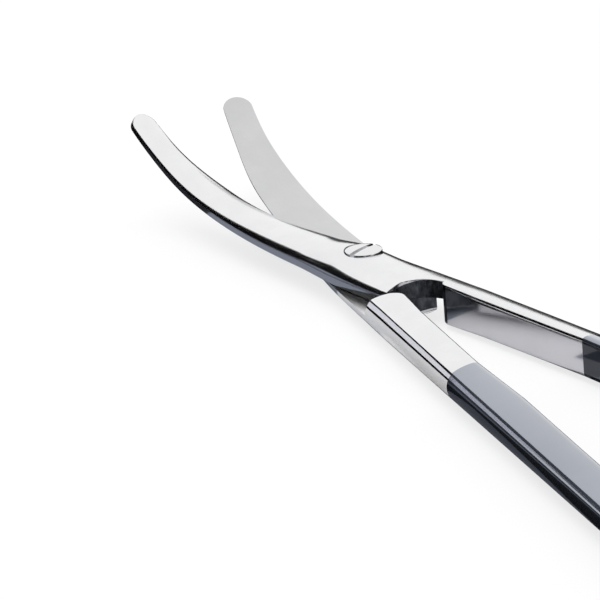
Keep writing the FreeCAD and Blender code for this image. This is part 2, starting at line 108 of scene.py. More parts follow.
RING_WALL = 3.8
RING_ROUNDNESS = 1.6
RING_SETTING = 0.4        # from the half's middle to the ring
WEB_RADIUS = 6.5
WEB_HEIGHT = 2.4
WEB_LAP = 2.0             # how far the web reaches into the shank
WEB_BITE = 0.5            # how far its hollow's ends do, into shank and ring
BOW_JOIN = -90.0          # where the shank's skin is joined to the ring's
BOW_OVERLAP = 4.0         # how far the ring's skin is first built past that place
BOW_GAP = 0.8             # between the two skins before they are bridged
# How the handle's rear is melted together: voxel size and rounds of smoothing.
QUICK_MELT, FULL_MELT = (0.4, 5), (0.24, 12)

# The rounding of a section's long edges: its reach as a share of the softness, and at most as a
# share of the width; the most of a corner's sides that it may use; and where the bevel ends.
SPINE_REACH, SPINE_MOST = 1.1, 0.3
BROW_REACH, BROW_MOST = 1.5, 0.2
CORNER_MOST, SPINE_CORNER_MOST = 0.45, 0.9
BEVEL_FOOT, CHEEK_AIM = 0.62, 0.3
OUTER_SOFTNESS = 1.4      # of the outer edge against the back's
# Where that softness changes, from and to, and by how much.
HOLLOW_FADE = (HOLLOW_FOOT[0] - 1.0, HOLLOW_FOOT[0] - 7.0)
HEEL_FADE = (HEEL[0] - 0.3, HEEL[0] + 1.2)
HANDLE_FADE = (-28.0, -44.0)
TIP_FADE = (18.0, 38.0)
SPINE_GROWTH, TIP_LOSS, HANDLE_GROWTH = 3.2, 2.2, 0.6

# The screw and its bores: radii, and heights over the meeting plane.
PIN_RADIUS, END_RADIUS, END_CHAMFER = 1.25, 1.05, 0.07
PIN_FOOT, HEAD_UNDER, HEAD_RIM, HEAD_DOME = -0.05, 1.8, 2.9, 0.13
PIN_BORE, END_BORE, END_FLAT = 1.3, 1.07, 2.2
SEAT_PLAY, SEAT_FLOOR = 0.08, 1.72
SLOT_WIDTH, SLOT_DEPTH = 0.55, 0.45
SLOT_TURN = math.radians(-65.5)
FAR_OUT = 6.0             # well outside the steel, for the cutters' ends

# Steps round a section, along a half, and round what is turned.
WALL_STEPS = 3
SOFT_STEPS = 5
DOME_STEPS = 20
CHEEK_STEPS = 5
TOP_POINTS = WALL_STEPS + SOFT_STEPS * 3 + DOME_STEPS - 1 + CHEEK_STEPS
BOW_STEPS = 30
HANDLE_STEPS = 26
SHANK_STEPS = 16
CROTCH_STEPS = 6
HOLLOW_STEPS = 12
HEEL_STEPS = 8
SQUARE_STEPS = 14
BLADE_STEPS = 130
TIP_STEPS = 20
TIP_SHARE = 0.938         # of the blade's length, where the closer rings of the tip start
JOINT_ROWS = 15           # rows in front of the heel with the joint's finish underneath
CLIMB_STEPS = 240
MEETING_ROUNDS = 4
RING_STEPS = 96
QUARTER_STEPS = 6
WEB_STEPS = 14
CROWN_STEPS = 13
TURNED_STEPS = 96

# The finishes of a half, in the order of its material slots.
STEEL, GROUND, SPINE, HOLLOW, FACE, CHEEK, BEVEL, FLAT, JOINT = range(9)
# All but the hollow's, in the same order: name, brightness, roughness, grain, the clouds' shade
# and metallic.
STEEL_FINISHES = (
    ("satin", 1.0, 0.15, 0.03, 0.96, 1.0),
    ("ground", 0.84, 0.34, 0.12, 0.96, 0.45),
    # the spine is a little darker than the satin: partly a finish of its own, partly painted shade
    # for the dark that its wall reflects
    ("spine", 0.85, 0.1, 0.01, 0.96, 1.0),
    ("face", 0.74, 0.36, 0.12, 0.95, 0.8),
    ("cheek", 0.97, 0.3, 0.1, 0.97, 0.3),
    ("bevel", 1.0, 0.06, 0.0, 0.96, 1.0),
    ("flat", 0.95, 0.12, 0.05, 0.96, 1.0),
    ("joint", 0.95, 0.24, 0.1, 0.92, 1.0),
)
SCREW_FINISH = ("satin", 0.98, 0.17, 0.2, 0.96, 1.0)
# Scales of the patterns, per metre: of the steel's lines along each axis, and of the others.
BRUSH_STRETCH = (120.0, 5200.0, 5200.0)
CLOUD_SCALE, SPOT_SCALE, MOTTLE_SCALE = 260.0, 1500.0, 1100.0
PEEL_SCALE, COAT_CLOUD_SCALE = 700.0, 90.0
# The coat's steep flanks get painted shade: their colour is darkened by how steep the skin stands.
PAINTED_FLANK_SHADE = "flank"           # the coat's attribute for how steep its skin stands
FLANK_SHADE_START = 0.6         # it is above zero where the normal's height is less than this
FLANK_SHADE_RANGE = 0.3         # and one where it is less by this much

# The stage, in metres. Cards that only show in the gloss: from and to, in degrees round the
# object from +X; lowest and highest, in degrees above the floor; nearest and farthest; and tone.
# The last one lies on the floor.
CARDS = (
    ("horizon_card", -5.0, 200.0, 0.0, 8.0, 0.7, 0.7, 0.004),
    ("far_card", -80.0, -5.0, 0.0, 3.5, 0.7, 0.7, 0.004),
    ("left_line_card", -2.0, 20.0, 14.0, 22.0, 0.6, 0.6, 0.004),
    ("left_strip_card", -5.0, 20.0, 8.5, 13.5, 0.68, 0.68, 0.75),
    ("left_high_card", 20.0, 80.0, 12.5, 35.0, 0.6, 0.6, 0.004),
    ("left_low_card", 25.0, 80.0, 0.0, 15.0, 0.6, 0.6, 0.004),
    ("floor_card", -80.0, 200.0, 0.0, 0.0, 0.085, 0.68, 0.004),
)
CARD_STEPS = 64
CARD_BLUE = 1.08          # against the other two colours
CARD_STRETCH, CARD_SHIFT, CARD_HEIGHT = 1.3, -0.045, 0.0001   # of the one that lies on the floor

# Sheets on the floor that only show in the gloss: lowest and highest corner, and colour.
SHEETS = (
    ("grey_sheet", (-0.012, -0.005), (0.036, 0.08), (0.22, 0.24, 0.29)),
    ("tip_sheet", (0.036, -0.02), (0.11, 0.08), (0.02, 0.021, 0.026)),
    ("flat_sheet", (-0.031, -0.012), (-0.012, 0.008), (0.62, 0.62, 0.65)),
    ("flat_end_sheet", (-0.0372, -0.012), (-0.031, -0.001), (0.62, 0.62, 0.65)),
    ("slate_sheet", (-0.15, -0.001), (-0.031, 0.0145), (0.15, 0.16, 0.195)),
    ("band_sheet", (-0.15, 0.0145), (-0.012, 0.08), (0.004, 0.004, 0.005)),
    ("near_band_sheet", (-0.031, 0.008), (0.0, 0.0145), (0.004, 0.004, 0.005)),
    ("dark_sheet", (-0.15, -0.14), (0.08, -0.005), (0.01, 0.01, 0.012)),
)
SHEET_HEIGHT = 0.00005
FLOOR_SIZE, FLOOR_HEIGHT, FLOOR_GLOW = 3.0, -0.0001, 0.75
SKY_DIFFUSE, SKY_SEEN = 0.75, 1.0

# The photo's camera, solved from marks on the object, in degrees, millimetres and pixels.
PITCH, ROLL, HEADING = 18.84, -4.40, 64.925
DISTANCE, ASIDE, ABOVE = 793.66, 6.854, 2.606
FOCAL_PIXELS, PICTURE_PIXELS = 7557.0, 600.0
SENSOR_WIDTH = 36.0


# Shader maths


class Socket:
    """An output socket that can be used in sums."""

    def __init__(self, material, link):
        self.material = material
        self.link = link

    def maths(self, operation, first, second):
        return self.material.node("ShaderNodeMath", {"operation": operation}, {0: first, 1: second})

    def __add__(self, other):
        return self.maths("ADD", self, other)

    def __sub__(self, other):
        return self.maths("SUBTRACT", self, other)

    def __rsub__(self, other):
        return self.maths("SUBTRACT", other, self)

    def __mul__(self, other):
        return self.maths("MULTIPLY", self, other)

    __radd__ = __add__
    __rmul__ = __mul__


class Finish:
    """A node material, with one method for every node."""

    def __init__(self, name, tree_owner=None):
        self.owner = tree_owner or bpy.data.materials.new(name)
        self.owner.use_nodes = True
        self.tree = self.owner.node_tree
        self.tree.nodes.clear()

    def node(self, kind, settings=None, inputs=None, output=0):
        made = self.tree.nodes.new(kind)
        for key, value in (settings or {}).items():
            setattr(made, key, value)
        for key, value in (inputs or {}).items():
            if isinstance(value, Socket):
                self.tree.links.new(value.link, made.inputs[key])
            elif value is not None:
                made.inputs[key].default_value = value
        return Socket(self, made.outputs[output])

    def place(self, scale=(1.0, 1.0, 1.0), turn=0.0):
        """Object coordinates, turned about Z and stretched."""
        spots = self.node("ShaderNodeTexCoord", output=3)
        return self.node(
            "ShaderNodeMapping",
            {"vector_type": "POINT"},
            {"Vector": spots, "Rotation": (0.0, 0.0, turn), "Scale": scale},
        )

    def noise(self, vector, scale, detail=2.0, roughness=0.5):
        inputs = {"Vector": vector, "Scale": scale, "Detail": detail, "Roughness": roughness}
        return self.node("ShaderNodeTexNoise", None, inputs)

    def spread(self, value, low, high, to_low=0.0, to_high=1.0):
        inputs = {"Value": value, 1: low, 2: high, 3: to_low, 4: to_high}
        return self.node("ShaderNodeMapRange", {"interpolation_type": "SMOOTHSTEP"}, inputs)

    def mix_colour(self, share, first, second):
        inks = [ink if isinstance(ink, Socket) else (*ink, 1.0) for ink in (first, second)]
        inputs = {0: share, 6: inks[0], 7: inks[1]}
        return self.node("ShaderNodeMix", {"data_type": "RGBA"}, inputs, 2)

    def bump(self, height, strength, distance):
        inputs = {"Height": height, "Strength": strength, "Distance": distance}
        return self.node("ShaderNodeBump", None, inputs)

    def surface(self, shader):
        end = self.tree.nodes.new("ShaderNodeOutputMaterial")
        self.tree.links.new(shader.link, end.inputs["Surface"])
        return self.owner

    def principled(self, inputs):
        return self.surface(self.node("ShaderNodeBsdfPrincipled", None, inputs))


def tinted(colour, share):
    """A brighter or darker colour."""
    return tuple(min(part * share, 1.0) for part in colour)


def steel_finish(owner, steel, turn, kind, brightness, roughness, grain, shade, metal):
    """Steel with fine lines along its length, faint clouds and a few rubbed spots."""
    finish = Finish(f"{owner}_{kind}")
    colour = tinted(steel, brightness)
    lines = finish.noise(finish.place(BRUSH_STRETCH, turn), 1.0, detail=3.0, roughness=0.6)
    clouds = finish.noise(finish.place(), CLOUD_SCALE, detail=4.0, roughness=0.6)
    spots = finish.noise(finish.place(), SPOT_SCALE)
    rough = roughness + (lines - 0.5) * (roughness * 0.5)
    return finish.principled({
        "Base Color": finish.mix_colour(
            finish.spread(clouds, 0.35, 0.7), tinted(colour, shade), colour
        ),
        "Metallic": metal,
        "Roughness": rough + finish.spread(clouds, 0.3, 0.8, to_low=-0.01, to_high=0.02),
        "Normal": finish.bump(lines * 0.7 + spots * 0.3, grain, 0.00002),
    })


def hollow_finish(name, colour, turn):
    """The hollow behind the joint: darker steel with a darker mottle."""
    finish = Finish(name)
    place = finish.place((1.0, 1.0, 0.5), turn)
    mottle = finish.noise(place, MOTTLE_SCALE, detail=5.0, roughness=0.65)
    mottled = finish.spread(mottle, 0.4, 0.66)
    return finish.principled({
        "Base Color": finish.mix_colour(mottled, tinted(colour, 0.35), colour),
        "Metallic": 1.0,
        "Roughness": finish.spread(mottle, 0.3, 0.7, to_low=0.24, to_high=0.42),
        "Normal": finish.bump(mottle, 0.35, 0.00005),
    })


def coat_finish(name, colour):
    """The glossy coat: slate on top, painted shade nearly black on its flanks, and a faint
    orange-peel skin.
    """
    finish = Finish(name)
    peel = finish.noise(finish.place(), PEEL_SCALE)
    clouds = finish.noise(finish.place(), COAT_CLOUD_SCALE, detail=3.0)
    base = finish.mix_colour(finish.spread(clouds, 0.35, 0.7), colour, tinted(colour, 1.15))
    steep = {"attribute_type": "GEOMETRY", "attribute_name": PAINTED_FLANK_SHADE}
    flank = finish.node("ShaderNodeAttribute", steep, output=2)
    return finish.principled({
        # painted shade: on the steep flanks the colour falls to a fifth of the coat's
        "Base Color": finish.mix_colour(flank, base, tinted(colour, 0.2)),
        "Metallic": 0.8,
        "Roughness": finish.spread(clouds, 0.3, 0.8, to_low=0.06, to_high=0.08),
        "Coat Weight": finish.spread(flank, 0.0, 1.0, to_low=1.0, to_high=0.1),
        "Coat IOR": 2.0,
        "Coat Roughness": 0.06,
        "Normal": finish.bump(peel, 0.012, 0.00005),
    })


# The shape


def clamped(value):
    return min(max(value, 0.0), 1.0)


def between(start, end, share):
    """The value at a share of the way from start to end."""
    return start + (end - start) * share


def span(start, end, count):
    """Evenly spaced values from start to end, both included, with count steps between them."""
    return [start + (end - start) * k / count for k in range(count + 1)]


def fade(x, places):
    """How much of a change between two places has been made at x."""
    start, end = places
    return clamped((x - start) / (end - start))


def climb_at(share):
    """Distance, height and slope of the climb of the meeting face at a share of its way."""
    rest = 1.0 - share
    weights = (rest ** 3, 3 * rest ** 2 * share, 3 * rest * share ** 2, share ** 3)
    steps = (rest ** 2, 2 * rest * share, share ** 2)
    x, z = (sum(w * pole[axis] for w, pole in zip(weights, CLIMB)) for axis in (0, 1))
    dx, dz = (
        sum(w * (after[axis] - before[axis]) for w, before, after in zip(steps, CLIMB, CLIMB[1:]))
        for axis in (0, 1)
    )
    return x, z, math.atan2(dz, dx)


CLIMB_PLACES = [climb_at(share) for share in span(0.0, 1.0, CLIMB_STEPS)]


def climb_height(radius):
    """Height and slope of the meeting face at a distance from the pivot."""
    if radius <= BLADE_START:
        return 0.0, 0.0
    for (x0, z0, a0), (x1, z1, a1) in zip(CLIMB_PLACES, CLIMB_PLACES[1:]):
        if radius <= x1:
            share = (radius - x0) / (x1 - x0)
            return between(z0, z1, share), math.tan(between(a0, a1, share))
    x, z, slope = CLIMB_PLACES[-1]
    return z + (radius - x) * math.tan(slope), math.tan(slope)


def section_at(key):
    """The values of the cross section at a place, between the listed ones."""
    rows = SECTIONS
    if key <= rows[0][0]:
        return rows[0][1:]
    if key >= rows[-1][0]:
        return rows[-1][1:]
    k = max(i for i in range(len(rows) - 1) if rows[i][0] <= key)
    start, end = rows[k], rows[k + 1]
    run = end[0] - start[0]
    share = (key - start[0]) / run
    if k < SMOOTH_ROW:
        return tuple(between(a, b, share) for a, b in zip(start[1:], end[1:]))
    before = rows[k - 1] if k > SMOOTH_ROW else None
    after = rows[k + 2] if k + 2 < len(rows) else None
    values = []
    for part in range(1, len(start)):
        chord = (end[part] - start[part]) / run
        slope0 = (end[part] - before[part]) / (end[0] - before[0]) if before else chord
        slope1 = (after[part] - start[part]) / (after[0] - start[0]) if after else chord
        s2, s3 = share * share, share ** 3
        values.append(
            (2 * s3 - 3 * s2 + 1) * start[part]
            + (s3 - 2 * s2 + share) * slope0 * run
            + (3 * s2 - 2 * s3) * end[part]
            + (s3 - s2) * slope1 * run
        )
    return tuple(values)


class Section:
    """One cross section with its inset, and the curves that bound it."""

    def __init__(self, key, inset=0.0):
        back, wall, dome, brow, lip, flank = section_at(key)
        self.back = back - inset
        self.brow = brow - inset
        self.lip = lip - inset
        self.dome = dome - inset
        self.bulge = flank - brow
        wall = wall - inset
        start, end = Vector((self.back, wall)), Vector((-self.brow, self.lip))
        chord = end - start
        aside = Vector((-chord.y, chord.x)).normalized()
        reach = math.sqrt(max(self.dome ** 2 - (chord.length / 2.0) ** 2, 0.0))
        self.centre = (start + end) / 2.0 + aside * reach

    def top(self, y):
        """Height of the domed side."""
        rise = self.dome ** 2 - (y - self.centre.x) ** 2
        return self.centre.y + math.sqrt(max(rise, 0.0))

    def side(self, z):
        """How far the outer side stands out at a height."""
        cheek = (self.lip ** 2 + self.bulge ** 2) / (self.bulge * 2.0)
        return self.brow + self.bulge - cheek + math.sqrt(max(cheek ** 2 - z * z, 0.0))


def soft(before, corner, after, radius, most=CORNER_MOST):
    """A few points round a corner; most limits the share of the side after it that they take."""
    corner, before, after = Vector(corner), Vector(before), Vector(after)
    back = before - corner
    ahead = after - corner
    start = corner + back.normalized() * min(radius, back.length * CORNER_MOST)
    end = corner + ahead.normalized() * min(radius, ahead.length * most)
    points = []
    for k in range(SOFT_STEPS):
        share = k / (SOFT_STEPS - 1.0)
        points.append(start.lerp(corner, share).lerp(corner.lerp(end, share), share))
    return points


def over_the_top(section, back, foot, side_foot, softness):
    """The points from the back's foot over the dome to the outer side's foot.

    foot and side_foot are the heights where the two walls start, and softness is the back's and
    the outer edge's."""
    edge, lip, crest = section.brow, section.lip, section.top(back)
    spine_soft, edge_soft = softness
    points = [Vector((back, z)) for z in span(foot, crest, WALL_STEPS)[:-1]]
    spine = back - min(spine_soft * SPINE_REACH, (back + edge) * SPINE_MOST)
    points += soft(
        (back, foot), (back, crest), (spine, section.top(spine)), spine_soft, SPINE_CORNER_MOST
    )
    brow = -edge + min(edge_soft * BROW_REACH, (back + edge) * BROW_MOST)
    points += [Vector((y, section.top(y))) for y in span(spine, brow, DOME_STEPS)[1:-1]]
    low = between(side_foot, lip, BEVEL_FOOT)
    out = section.side(low)
    points += soft((brow, section.top(brow)), (-edge, lip), (-out, low), edge_soft)
    aim = between(low, side_foot, CHEEK_AIM)
    points += soft((-edge, lip), (-out, low), (-section.side(aim), aim), edge_soft)
    for z in span(low - edge_soft * 0.5, side_foot, CHEEK_STEPS)[1:]:
        points.append(Vector((-section.side(min(z, low)), min(z, low))))
    points[-1] = Vector((-section.side(side_foot), side_foot))
    return points


def over_the_tip(section, back, foot, side_foot, edge, inside, bulge):
    """As many points for a ring at the tip, whose outer side is edge wide.

    inside says how deep a place lies in the outline, and bulge is the share that is left of the
    cheek's roundness."""
    count = SOFT_STEPS * 3 + DOME_STEPS - 1
    middle, half = (back - edge) / 2.0, (back + edge) / 2.0
    points = []
    for angle in span(0.0, math.pi, count - 1):
        y = middle + half * math.cos(angle)
        top = section.top(y)
        radius = min(TIP_SOFTNESS, top * 0.5)
        lack = min(max(radius - inside(y), 0.0), radius)
        points.append(Vector((y, top - radius + math.sqrt(radius ** 2 - lack ** 2))))
    wall = [Vector((back, z)) for z in span(foot, points[0].y, WALL_STEPS)[:-1]]
    heights = span(points[-1].y, side_foot, CHEEK_STEPS)[1:]
    cheek = [Vector((-edge - bulge * (section.side(z) - section.brow), z)) for z in heights]
    return wall + points + cheek


def tip_outline(section, ahead):
    """The back of a ring that lies ahead of the tip's centre, and the edge, the inside and the
    bulge that over_the_tip takes."""
    middle = (SECTIONS[-1][1] - SECTIONS[-1][6]) / 2.0
    reach = math.sqrt(max(TIP_RADIUS ** 2 - ahead ** 2, TIP_REST ** 2))

    def inside(y):
        depth = TIP_RADIUS - math.hypot(ahead, y - middle)
        return min(depth, section.back - y, y + section.brow)
    edge = min(section.brow, reach - middle)
    return min(section.back, middle + reach), (edge, inside, clamped(1.0 - ahead / TIP_RADIUS))


def plain_ring(section, back, softness):
    """A whole cross section: over the top and back underneath."""
    over = over_the_top(section, back, HALF_GAP, HALF_GAP, softness)
    under = over_the_top(section, back, -HALF_GAP, -HALF_GAP, softness)
    return over + [Vector((point.x, -point.y)) for point in reversed(under)]


def lap_at(x, inset=0.0):
    """Where the shank's inner flat lies."""
    return between(FRONT_LAP, REAR_LAP, fade(x, (SECTIONS[COAT_ROW][0], LAP_START))) - inset


def skin(bm, rings, closed, kinds=None):
    """Bends a grid so that each of its rows lies on a ring; kinds gives each face its finish."""
    columns = len(rings[0]) + (1 if closed else 0)
    made = bmesh.ops.create_grid(bm, x_segments=columns - 1, y_segments=len(rings) - 1, size=1.0)
    verts = sorted(made["verts"], key=lambda v: (round(v.co.y, 5), round(v.co.x, 5)))
    places = {vert: divmod(index, columns) for index, vert in enumerate(verts)}
    if kinds:
        for face in {face for vert in verts for face in vert.link_faces}:
            row, column = (min(places[vert][axis] for vert in face.verts) for axis in (0, 1))
            face.material_index = kinds(row, column)
    for vert, (row, column) in places.items():
        vert.co = rings[row][column % len(rings[row])]
    return verts


def arc_points(start, end, radius, turn, count):
    """Points on an arc; with turn 1 its centre lies left of the way from start to end."""
    start, end = Vector(start), Vector(end)
    chord = end - start
    aside = Vector((-chord.y, chord.x)).normalized()
    reach = math.sqrt(max(radius ** 2 - (chord.length / 2.0) ** 2, 0.0))
    centre = (start + end) / 2.0 + aside * (reach * turn)
    first = math.atan2(start.y - centre.y, start.x - centre.x)
    last = math.atan2(end.y - centre.y, end.x - centre.x)
    if (last - first) * turn < 0.0:
        last += math.tau * turn
    spots = [(math.cos(angle), math.sin(angle)) for angle in span(first, last, count)]
    return [Vector((centre.x + radius * u, centre.y + radius * w)) for u, w in spots]


def across(x_back, back, x_flank, bow):
    """How x runs over a ring that doesn't stand square; bow bends it as the shoulder is bent."""
    half_chord = (SHOULDER_END + HOLLOW_FOOT[1]) / 2.0
    middle = -(SHOULDER_END - HOLLOW_FOOT[1]) / 2.0
    centre = math.sqrt(SHOULDER_BOW ** 2 - half_chord ** 2)

    def x_of(y):
        share = clamped((back - y) / (back + JOINT_FLANK))
        off = min(abs(y - middle), half_chord)
        bulge = math.sqrt(SHOULDER_BOW ** 2 - off ** 2) - centre
        return between(x_back, x_flank, share) + bulge * bow
    return x_of


def front_places():
    """Where the rings from the shoulder to the blade stand: x and y at the back, x at the flank,
    and bow. The y is None where the section's own back holds."""
    places = []
    for k, spot in enumerate(arc_points(HOLLOW_FOOT, HEEL, HOLLOW_RADIUS, 1, HOLLOW_STEPS)):
        share = k / HOLLOW_STEPS
        x_flank = between(-SHOULDER, HEEL_FLANK, share)
        places.append((spot.x, spot.y, x_flank, 1.0 - min(share * 2.0, 1.0)))
    backs = span(HEEL[0], SQUARE_START, HEEL_STEPS)[1:]
    flanks = span(HEEL_FLANK, SQUARE_START, HEEL_STEPS)[1:]
    square = span(SQUARE_START, BLADE_START, SQUARE_STEPS)[1:]
    places += [(x_back, None, x_flank, 0.0) for x_back, x_flank in zip(backs, flanks)]
    return places + [(x, None, x, 0.0) for x in square]


class Half:
    """Works out the rings of one half. side is 1 for the upper half and -1 for the lower one."""

    def __init__(self, side, sizes):
        self.side = side
        self.coat_start = sizes.coat_start
        self.softness = (sizes.edge_softness, sizes.edge_softness * OUTER_SOFTNESS)

    def edges_at(self, x):
        """The softness of the back and of the outer edge: the back is rounded more away from the
        hollow and less towards the tip."""
        grown = max(fade(x, HOLLOW_FADE), fade(x, HEEL_FADE))
        back = 1.0 + SPINE_GROWTH * grown - TIP_LOSS * fade(x, TIP_FADE)
        outer = 1.0 + HANDLE_GROWTH * fade(x, HANDLE_FADE)
        return self.softness[0] * back, self.softness[1] * outer

    def put(self, points, x_of, height=0.0, slope=0.0):
        """Section points to places in the half's frame."""
        placed = []
        for point in points:
            lift = point.y * self.side
            x = x_of(point.x) - lift * math.sin(slope)
            placed.append(Vector((x, point.x * self.side, height + lift * math.cos(slope))))
        return placed

    def square_ring(self, x, inset):
        """A whole ring of the handle, standing square."""
        section = Section(x, inset)
        back = min(section.back, lap_at(x, inset))
        return self.put(plain_ring(section, back, self.edges_at(x)), lambda y: x)

    def handle_rings(self, inset):
        """From behind the ring's neck forwards to the coat's edge."""
        places = span(BOW_JOIN, -self.coat_start, HANDLE_STEPS)
        return [self.square_ring(x, inset) for x in places]

    def shank_rings(self):
        """From the coat's edge forwards to the shoulder, whose bow the last ring follows."""
        places = [(x, lap_at(x), x, 0.0) for x in span(-self.coat_start, CROTCH[0], SHANK_STEPS)]
        inner = arc_points(CROTCH, HOLLOW_FOOT, CROTCH_RADIUS, -1, CROTCH_STEPS)
        for k, spot in enumerate(inner[1:], start=1):
            share = k / CROTCH_STEPS
            places.append((spot.x, spot.y, between(CROTCH[0], -SHOULDER, share), share))
        rings = []
        for x_back, back, x_flank, bow in places:
            section = Section((x_back + x_flank) / 2.0)
            points = plain_ring(section, back, self.edges_at(x_back))
            rings.append(self.put(points, across(x_back, back, x_flank, bow)))
        return rings

    def meeting(self, y, x_of, height, slope):
        """Where the meeting face crosses the section at y."""
        lift = HALF_GAP
        for _ in range(MEETING_ROUNDS):
            x = x_of(y) - self.side * lift * math.sin(slope)
            rise, grade = climb_height(math.hypot(x, y)) if x > 0.0 else (0.0, 0.0)
            wrong = height + self.side * lift * math.cos(slope) - rise - self.side * HALF_GAP
            lift -= wrong / (self.side * (math.cos(slope) + grade * math.sin(slope)))
        return lift

    def open_ring(self, section, back, x_of, height=0.0, slope=0.0, tip=None):
        """A ring of the front part: over the top, and back along the meeting face.

        tip is what over_the_tip takes, for a ring there."""
        foot = self.meeting(back, x_of, height, slope)
        out = tip[0] if tip else section.side(HALF_GAP)
        side_foot = self.meeting(-out, x_of, height, slope)
        if tip:
            over = over_the_tip(section, back, foot, side_foot, *tip)
        else:
            over = over_the_top(section, back, foot, side_foot, self.edges_at(x_of(back)))
        inner = span(over[-1].x, back, TOP_POINTS)[1:-1]
        under = [Vector((y, self.meeting(y, x_of, height, slope))) for y in inner]
        return self.put(over + under, x_of, height, slope)

    def front_rings(self):
        """From the shoulder forwards to the tip."""
        rings = []
        for x_back, back, x_flank, bow in front_places():
            section = Section((x_back + x_flank) / 2.0)
            back = section.back if back is None else back
            rings.append(self.open_ring(section, back, across(x_back, back, x_flank, bow)))
        tip_x, tip_z, tip_slope = climb_at(1.0)
        round_x = tip_x - TIP_RADIUS * math.cos(tip_slope)
        round_z = tip_z - TIP_RADIUS * math.sin(tip_slope)
        closer = [math.sin(angle) for angle in span(0.0, math.pi / 2.0, TIP_STEPS)]
        shares = span(0.0, TIP_SHARE, BLADE_STEPS)[1:-1]
        for share in shares + [between(TIP_SHARE, 1.0, near) for near in closer]:
            x, z, slope = climb_at(share)
            section = Section(BLADE_START + BLADE_RUN * share)
            ahead = (x - round_x) * math.cos(tip_slope) + (z - round_z) * math.sin(tip_slope)
            back, tip = tip_outline(section, ahead) if ahead > 0.0 else (section.back, None)
            rings.append(self.open_ring(section, back, lambda y, x=x: x, z, slope, tip))
        return rings

    def to_frame(self):
        """From the half's own millimetres to the frame's metres."""
        return UPRIGHT @ Matrix.Rotation(HALF_OPENING * self.side, 4, "Z")


def ring_middle(sizes):
    x = -(sizes.tail - sizes.ring_length / 2.0)
    return x, -(RING_SETTING + sizes.ring_width / 2.0)


def finger_ring(bm, sizes, side, inset):
    """An oval ring whose section is a rounded rectangle."""
    centre = ring_middle(sizes)
    length, width = sizes.ring_length / 2.0 - inset, sizes.ring_width / 2.0 - inset
    wall = RING_WALL - inset * 2.0
    half_height = sizes.ring_height / 2.0 - inset
    roundness = RING_ROUNDNESS - inset
    rings = []
    for k in range(RING_STEPS):
        angle = math.tau * k / RING_STEPS
        outer = Vector((length * math.cos(angle), width * math.sin(angle)))
        inner = Vector(((length - wall) * math.cos(angle), (width - wall) * math.sin(angle)))
        ring = []
        for corner_x, corner_z, first in ((1, 1, 0), (-1, 1, 90), (-1, -1, 180), (1, -1, 270)):
            for turn in span(first, first + 90.0, QUARTER_STEPS):
                a = math.radians(turn)
                u = corner_x * (wall / 2.0 - roundness) + roundness * math.cos(a)
                w = corner_z * (half_height - roundness) + roundness * math.sin(a)
                spot = inner.lerp(outer, u / wall + 0.5)
                ring.append(Vector((centre[0] + spot.x, (centre[1] + spot.y) * side, w)))
        rings.append(ring)
    rings.append(rings[0])
    skin(bm, rings, closed=True)


def corner_web(bm, sizes, side, inset):
    """Fills the corner between shank and ring with a round hollow."""
    front = -(sizes.tail - sizes.ring_length) - inset
    radius = WEB_RADIUS + inset
    flank = (SECTIONS[1][-1] + SECTIONS[2][-1]) / 2.0 - inset
    low = -(flank + radius)
    outline = arc_points(
        (front + radius, -flank + WEB_BITE), (front - WEB_BITE, low), radius, 1, WEB_STEPS
    )
    outline += [Vector(p) for p in (
        (front - RING_WALL / 2.0, low - 1.0),
        (front - RING_WALL * 2.0, -flank - 1.0),
        (front - RING_WALL * 2.0, -flank + WEB_LAP),
        (front + radius, -flank + WEB_LAP),
    )]
    half_height = WEB_HEIGHT / 2.0 - inset
    bottom = [bm.verts.new((p.x, p.y * side, -half_height)) for p in outline]
    face = bm.faces.new(bottom)
    made = bmesh.ops.extrude_face_region(bm, geom=[face])
    top = [item for item in made["geom"] if isinstance(item, bmesh.types.BMVert)]
    bmesh.ops.translate(bm, verts=top, vec=(0.0, 0.0, half_height * 2.0))


def mesh_object(name, bm):
    mesh = bpy.data.meshes.new(name)
    bm.to_mesh(mesh)
    bm.free()
    made = bpy.data.objects.new(name, mesh)
    bpy.context.scene.collection.objects.link(made)
    return made


def worked_in(thing):
    """A new mesh: the object's, with its modifiers worked in."""
    graph = bpy.context.evaluated_depsgraph_get()
    return bpy.data.meshes.new_from_object(thing.evaluated_get(graph), depsgraph=graph)


def bow_skin(half, sizes, inset):
    """The rear of a handle with its finger ring, melted together and smoothed."""
    voxel, rounds = FULL_MELT
    bm = bmesh.new()
    places = span(ring_middle(sizes)[0], BOW_JOIN + BOW_OVERLAP, BOW_STEPS)
    skin(bm, [half.square_ring(x, inset) for x in places], closed=True)
    finger_ring(bm, sizes, half.side, inset)
    corner_web(bm, sizes, half.side, inset)
    bmesh.ops.remove_doubles(bm, verts=bm.verts, dist=0.002)
    bmesh.ops.holes_fill(bm, edges=[e for e in bm.edges if e.is_boundary], sides=0)
    bmesh.ops.recalc_face_normals(bm, faces=bm.faces)
    lump = mesh_object("bow_lump", bm)
    melt = lump.modifiers.new("melt", "REMESH")
    melt.mode = "VOXEL"
    melt.voxel_size = voxel
    melt.use_smooth_shade = True
    bm = bmesh.new()
    bm.from_mesh(worked_in(lump))
    bpy.data.objects.remove(lump, do_unlink=True)
    for _ in range(rounds):
        bmesh.ops.smooth_vert(
            bm, verts=bm.verts, factor=0.5, use_axis_x=True, use_axis_y=True, use_axis_z=True
        )
    bmesh.ops.bisect_plane(
        bm, geom=bm.verts[:] + bm.edges[:] + bm.faces[:], dist=1e-4,
        plane_co=(BOW_JOIN - BOW_GAP, 0.0, 0.0), plane_no=(1.0, 0.0, 0.0), clear_outer=True,
    )
    return bm


